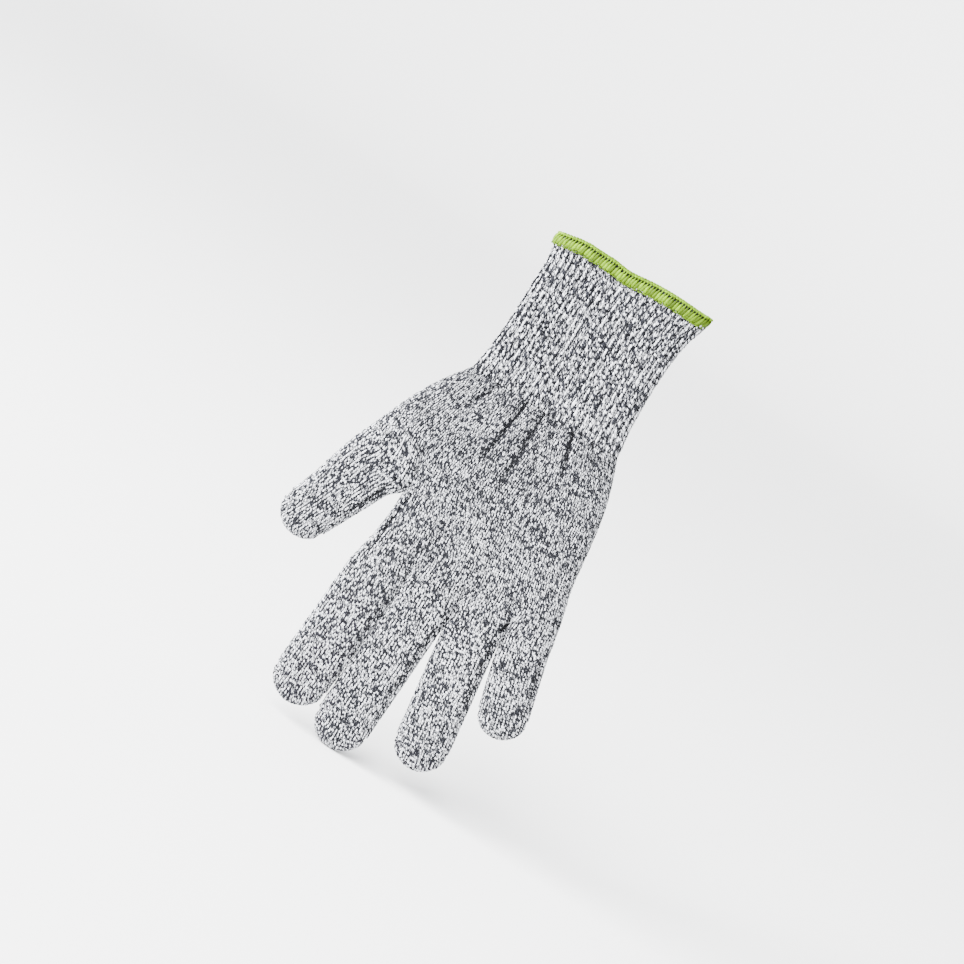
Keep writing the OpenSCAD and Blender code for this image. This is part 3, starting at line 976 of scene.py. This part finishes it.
def limb_joints(limb):
    """Folds of a limb from its root: bodies, distance from the root joint, and the reach of the cloth
    that turns before and after it."""
    root, tip = joint_place(f"{limb}_root_bend"), joint_place(f"{limb}_end_bend")
    if limb == "thumb":
        far = np.linalg.norm(tip - root)
        return [("palm", "thumb_root", 0.0, 0.0, 14.0), ("thumb_root", "thumb_end", far, 7.0, 7.0)]
    middle = joint_place(f"{limb}_mid_bend")
    near, far = np.linalg.norm(middle - root), np.linalg.norm(tip - root)
    between = far - near
    reach = min(7.0, 0.53 * between)
    after = min(10.8, near - reach - 1)
    return [("palm", f"{limb}_root", 0.0, KNUCKLE_RISE, after),
            (f"{limb}_root", f"{limb}_mid", near, reach, reach),
            (f"{limb}_mid", f"{limb}_end", far, min(7.0, between - reach), 5.3)]


def knit_limb(limb, knit, seed):
    """Knits a finger or the thumb in pieces, one across each fold, split half way between the folds."""
    yarn, ground = yarn_material(knit), shaded_ground_material(knit)
    part = limb_patch(knit, limb)
    courses = (part["loop"].shape[0] - 1) // HALF
    run = part["run"][::HALF]
    folds = limb_joints(limb)
    cuts = [0]
    for this, following in zip(folds, folds[1:]):
        middle = (this[2] + this[4] + following[2] - following[3]) / 2
        cuts.append(int(np.abs(run - middle).argmin()))
    cuts.append(courses)
    root, way = LIMB[limb]["root"], LIMB[limb]["way"]
    for (first, second, far, before, after), low, high in zip(folds, cuts, cuts[1:]):
        ends = (first, second, point(root + way * (far - before)), point(root + way * (far + after)))
        shell = ground_piece(f"{second}_ground", [(part["loop"], part["normal"], HALF * low, HALF * high)],
                             knit, ground)
        seat(shell, ends, (second,))
        legs = stitches(part, low, high, "both", seed)
        seat(strand_piece(f"{second}_yarn", *legs, yarn), ends)


class GLOVE_OT_thumb(bpy.types.Operator):
    """Knit the thumb"""
    bl_idname = "glove.thumb"
    bl_label = "Thumb"

    def execute(self, context):
        knit_limb("thumb", context.scene.glove_knit, 40)
        return {"FINISHED"}


class GLOVE_OT_fingers(bpy.types.Operator):
    """Knit the four fingers"""
    bl_idname = "glove.fingers"
    bl_label = "Fingers"

    def execute(self, context):
        for i, limb in enumerate(FINGERS):
            knit_limb(limb, context.scene.glove_knit, 50 + i)
        return {"FINISHED"}


def hem_round(knit, count, first=0.0):
    """Points at even steps round the cuff's opening, with the directions around it and outwards, and
    its girth. The first point lies the given share of a step along."""
    opening = cuff_patch(knit)["loop"][HALF]
    closed = np.concatenate([opening, opening[:1]])
    run = np.concatenate([[0], np.linalg.norm(np.diff(closed, axis=0), axis=1).cumsum()])
    girth = run[-1]
    at = (np.arange(count) + first) / count * girth
    place = along_run(closed, run, at)
    around = along_run(closed, run, (at + 2) % girth) - along_run(closed, run, (at - 2) % girth)
    around = unit(around * [1, 1, 0])
    out = np.stack([around[:, 1], -around[:, 0], np.zeros(count)], 1)
    return place, around, out, girth


def along_run(points, run, at):
    """Points at given distances along a broken line."""
    return np.stack([np.interp(at, run, points[:, i]) for i in range(3)], 1)


class GLOVE_OT_hem(bpy.types.Operator):
    """Wrap the hem: outer looper with its edge chain, inner looper and needle thread"""
    bl_idname = "glove.hem"
    bl_label = "Overlocked Hem"

    def execute(self, context):
        knit, hem = context.scene.glove_knit, context.scene.glove_hem
        green = green_material(hem)
        girth = hem_round(knit, 8)[3]
        wraps = int(round(girth / (hem.pitch / MM)))
        outer = join_sets([hem_wraps(knit, hem, wraps, 1, 70), edge_chain(knit, hem, wraps, 71)])
        seat(strand_piece("hem_outer_wraps", *outer, green, 8, 1.5), ("cuff",), ("hem_upper_looper",))
        inner = hem_wraps(knit, hem, wraps, -1, 72)
        seat(strand_piece("hem_inner_wraps", *inner, green, 6, 1.5), ("cuff",), ("hem_lower_looper",))
        needle = needle_stitches(knit, hem, int(round(girth / NEEDLE_STEP)), 73)
        seat(strand_piece("hem_needle_stitches", *needle, green, 6, 1.5), ("cuff",), ("hem_needle_thread",))
        return {"FINISHED"}


def hem_slant(x, depth):
    """How far the hem's end on the little finger's side leans in at a depth below its edge."""
    return 0.35 * depth * smoothstep((x / CUFF_HALF - 0.7) / 0.3)


def hem_wraps(knit, hem, count, side, seed):
    """Thread that climbs the hem once for each stitch, on its outside (side 1) or its inside (-1). It is
    fluffed wide over the lower part, and drawn thin under the edge, where dark slots show between, through
    which the ground's painted shade is seen."""
    rng = np.random.default_rng(seed)
    place, around, out, _ = hem_round(knit, count)
    pitch, height = hem.pitch / MM, HEM_HIGH[2] - HEM_LOW[2]
    wobble = rng.normal(0, 0.035, (3, count, 1))
    top = -0.25 - hem_drop(place[:, 0])
    depth = (1 - WRAP_RISE)[None] * (height - 0.8) * (1 + wobble[0])
    z = top[:, None] - depth
    stand = side * (WRAP_STAND + (0 if side > 0 else 0.35))[None] + wobble[1]
    path = place[:, None] * [1, 1, 0] + z[..., None] * np.array([0, 0, 1]) + out[:, None] * stand[..., None] \
        + around[:, None] * (pitch * (WRAP_LEAN[None] + wobble[2]))[..., None]
    path[..., 0] -= hem_slant(place[:, :1], depth)
    normal = unit(np.repeat(side * out[:, None], len(WRAP_RISE), 1) + [0, 0, 0.3])
    width = pitch * WRAP_WIDTH[None] * (1 + wobble[2])
    thick = hem.thread / MM * 0.42
    return [path, normal, width, np.full(width.shape, thick), rng.uniform(0, 1, count),
            rng.integers(0, TONES, count)]


def edge_chain(knit, hem, count, seed):
    """Chain where the two loopers cross along the hem's edge: a short slanting link for each wrap."""
    rng = np.random.default_rng(seed)
    place, around, out, _ = hem_round(knit, count, 0.5)
    pitch = hem.pitch / MM
    z = -0.28 - hem_drop(place[:, 0])[:, None] + LINK_RISE[None] + rng.normal(0, 0.04, (count, 1))
    path = place[:, None] * [1, 1, 0] + z[..., None] * np.array([0, 0, 1]) \
        + out[:, None] * LINK_STAND[None, :, None] + around[:, None] * (LINK_AT * pitch)[None, :, None]
    path = resample(path, 7)
    radius = np.full((count, 7), hem.thread / MM * 0.36)
    normal = unit(np.repeat(out[:, None], 7, 1) + [0, 0, 0.8])
    return [path, normal, radius, radius, rng.uniform(0, 1, count), rng.integers(4, TONES, count)]


def resample(path, points):
    """Paths with another number of points, at even steps between the old ones."""
    at = np.linspace(0, path.shape[1] - 1, points)
    low = np.minimum(at.astype(int), path.shape[1] - 2)
    return mix(path[:, low], path[:, low + 1], (at - low)[None, :, None])


def needle_stitches(knit, hem, count, seed):
    """Needle thread along the hem's lower line: a flat arch for each stitch, its ends sunk in the knit
    beside the next one's."""
    rng = np.random.default_rng(seed)
    place, around, out, _ = hem_round(knit, count)
    along = np.linspace(-0.62, 0.62, 5) * NEEDLE_STEP
    arch = np.cos(np.linspace(-0.5, 0.5, 5) * np.pi)
    depth = HEM_HIGH[2] - HEM_LOW[2] - 0.5
    z = -0.15 - hem_drop(place[:, 0]) - depth + rng.normal(0, 0.08, count)
    place[:, 0] -= hem_slant(place[:, 0], depth)
    path = place[:, None] * [1, 1, 0] + around[:, None] * along[None, :, None] \
        + np.array([0, 0, 1]) * (z[:, None] + 0.12 * along[None])[..., None] \
        + out[:, None] * (0.45 + 0.5 * arch)[None, :, None]
    radius = np.full((count, 5), hem.needle / MM / 2)
    return [path, np.repeat(out[:, None], 5, 1), radius, radius, rng.uniform(0, 1, count),
            rng.integers(0, 3, count)]


class GLOVE_OT_elastic(bpy.types.Operator):
    """Lay the elastic rounds inside the rib"""
    bl_idname = "glove.elastic"
    bl_label = "Elastic"

    def execute(self, context):
        knit, hem = context.scene.glove_knit, context.scene.glove_hem
        part = cuff_patch(knit)
        low, high = node_box("cuff_elastic")
        levels = np.linspace(high[2], low[2], ELASTIC_ROUNDS)
        rows = [HALF * course_at(part, z) for z in levels]
        start = np.arange(0, part["loop"].shape[1], HALF)
        column = np.tile(start[:, None] + np.linspace(-0.25, 1.25, 5)[None] * HALF, (ELASTIC_ROUNDS, 1))
        row = np.repeat(np.array(rows), len(start))[:, None] + 0 * column
        place, out = sample(part["loop"], row, column), unit(sample(part["normal"], row, column))
        sag = 0.18 * np.cos(np.linspace(-1, 1, 5) * np.pi)
        path = place - out * (ELASTIC_DEPTH + sag)[None, :, None]
        radius = np.full(column.shape, ELASTIC_RADIUS)
        rng = np.random.default_rng(90)
        piece = strand_piece("elastic_rounds", path, out, radius, radius, rng.uniform(0, 1, len(row)),
                             rng.integers(4, TONES, len(row)), elastic_material(hem), 6, 1.0)
        seat(piece, ("cuff",), ("cuff_elastic",))
        return {"FINISHED"}


class GLOVE_OT_stage(bpy.types.Operator):
    """Set the floor, the lights and the camera"""
    bl_idname = "glove.stage"
    bl_label = "Stage"

    def execute(self, context):
        stage = context.scene.glove_stage
        low, high = CAD_BOX
        floor_z = low[2] - 0.0005
        turn = np.linspace(0, 2 * np.pi, FLOOR_SIDES + 1)[:-1]
        level = np.linspace(0, 1, 25) * np.pi / 2
        reach = np.concatenate([[0.02, 1.0, 2.5], FLOOR_RADIUS - FLOOR_LIP * (1 - np.sin(level))])
        rise = np.concatenate([[0, 0, 0], FLOOR_LIP * (1 - np.cos(level))])
        verts = np.stack([reach[:, None] * np.cos(turn), reach[:, None] * np.sin(turn),
                          rise[:, None] + 0 * turn], -1).reshape(-1, 3)
        index = np.arange(len(reach) * FLOOR_SIDES).reshape(len(reach), FLOOR_SIDES)
        nxt = np.roll(index, -1, 1)
        faces = np.stack([index[:-1], index[1:], nxt[1:], nxt[:-1]], -1).reshape(-1, 4)
        paper = bpy.data.materials.new("paper sweep")
        paper.use_nodes = True
        shader = next(n for n in paper.node_tree.nodes if n.type == "BSDF_PRINCIPLED")
        shader.inputs["Base Color"].default_value = (*stage.paper, 1)
        shader.inputs["Roughness"].default_value = 1.0
        shader.inputs["Specular IOR Level"].default_value = 0.0
        verts = (verts + [0, 0, floor_z]) / MM
        corners = np.concatenate([faces.ravel(), index[0]])
        starts = np.concatenate([np.arange(0, faces.size, 4), [faces.size]])
        floor = new_piece("paper_sweep", verts, corners, starts, {}, paper)
        world = bpy.data.worlds.new("soft studio")
        context.scene.world = world
        world.use_nodes = True
        world.node_tree.nodes["Background"].inputs["Color"].default_value = (0.97, 0.985, 1.0, 1)
        world.node_tree.nodes["Background"].inputs["Strength"].default_value = stage.sky
        aim = Vector((0, 0, (low[2] + high[2]) / 2))
        sun = bpy.data.lights.new("sun", "SUN")
        sun.energy, sun.angle = stage.sun, 0.6
        window = bpy.data.lights.new("window", "AREA")
        window.energy, window.shape, window.size = stage.window, "DISK", 1.3
        for lamp, place in ((sun, (-0.45, -0.85, 0.75)), (window, (-1.6, -0.55, 0.75))):
            lamp_object = bpy.data.objects.new(lamp.name, lamp)
            lamp_object.location = Vector(place) + aim
            lamp_object.rotation_euler = Vector(place).to_track_quat("Z", "Y").to_euler()
            context.scene.collection.objects.link(lamp_object)
        place_camera(context.scene, stage)
        return {"FINISHED"}


def place_camera(scene, stage):
    """Camera that looks at the hem's middle along +Y from a little above, rolled so that the wrist points
    to the upper right. Its shift sets where the hem's middle lies in the frame."""
    camera = bpy.data.cameras.new("camera")
    camera.lens, camera.sensor_width = stage.lens, 36.0
    camera.dof.use_dof = False
    distance = VIEW_WIDTH * stage.lens / camera.sensor_width
    rise = stage.elevation
    back = Vector((0, -np.cos(rise), np.sin(rise)))
    turn = (-back).to_track_quat("-Z", "Y").to_matrix()
    turn = turn @ Matrix.Rotation(stage.roll, 3, "Z")
    right, up = turn @ Vector((1, 0, 0)), turn @ Vector((0, 1, 0))
    aim = -VIEW_WIDTH * (right * HEM_SPOT[0] + up * HEM_SPOT[1])
    camera_object = bpy.data.objects.new("camera", camera)
    camera_object.matrix_world = Matrix.Translation(aim + back * distance) @ turn.to_4x4()
    scene.collection.objects.link(camera_object)
    scene.camera = camera_object


class GLOVE_PT_panel(bpy.types.Panel):
    """Shows the glove's settings and a button for each step that builds it"""
    bl_idname = "GLOVE_PT_panel"
    bl_label = "Knitted Glove"
    bl_space_type = "VIEW_3D"
    bl_region_type = "UI"
    bl_category = "Glove"

    def draw(self, context):
        for group in (context.scene.glove_knit, context.scene.glove_hem, context.scene.glove_stage):
            box = self.layout.box()
            for key in group.__annotations__:
                box.prop(group, key)
        for operator in OPERATORS:
            self.layout.operator(operator.bl_idname)


OPERATORS = (GLOVE_OT_cuff, GLOVE_OT_palm, GLOVE_OT_thumb, GLOVE_OT_fingers, GLOVE_OT_hem,
             GLOVE_OT_elastic, GLOVE_OT_stage)
CLASSES = (GloveKnit, GloveHem, GloveStage) + OPERATORS + (GLOVE_PT_panel,)


def register():
    """Registers the classes and hangs the settings on the scene."""
    for cls in CLASSES:
        bpy.utils.register_class(cls)
    bpy.types.Scene.glove_knit = bpy.props.PointerProperty(type=GloveKnit)
    bpy.types.Scene.glove_hem = bpy.props.PointerProperty(type=GloveHem)
    bpy.types.Scene.glove_stage = bpy.props.PointerProperty(type=GloveStage)


def unregister():
    """Takes the settings and classes away."""
    for name in ("glove_knit", "glove_hem", "glove_stage"):
        delattr(bpy.types.Scene, name)
    for cls in reversed(CLASSES):
        bpy.utils.unregister_class(cls)


def main():
    """Builds the glove piece by piece."""
    register()
    bpy.ops.glove.stage()
    bpy.ops.glove.cuff()
    bpy.ops.glove.palm()
    bpy.ops.glove.thumb()
    bpy.ops.glove.fingers()
    bpy.ops.glove.hem()
    bpy.ops.glove.elastic()


if __name__ == "__main__":
    main()
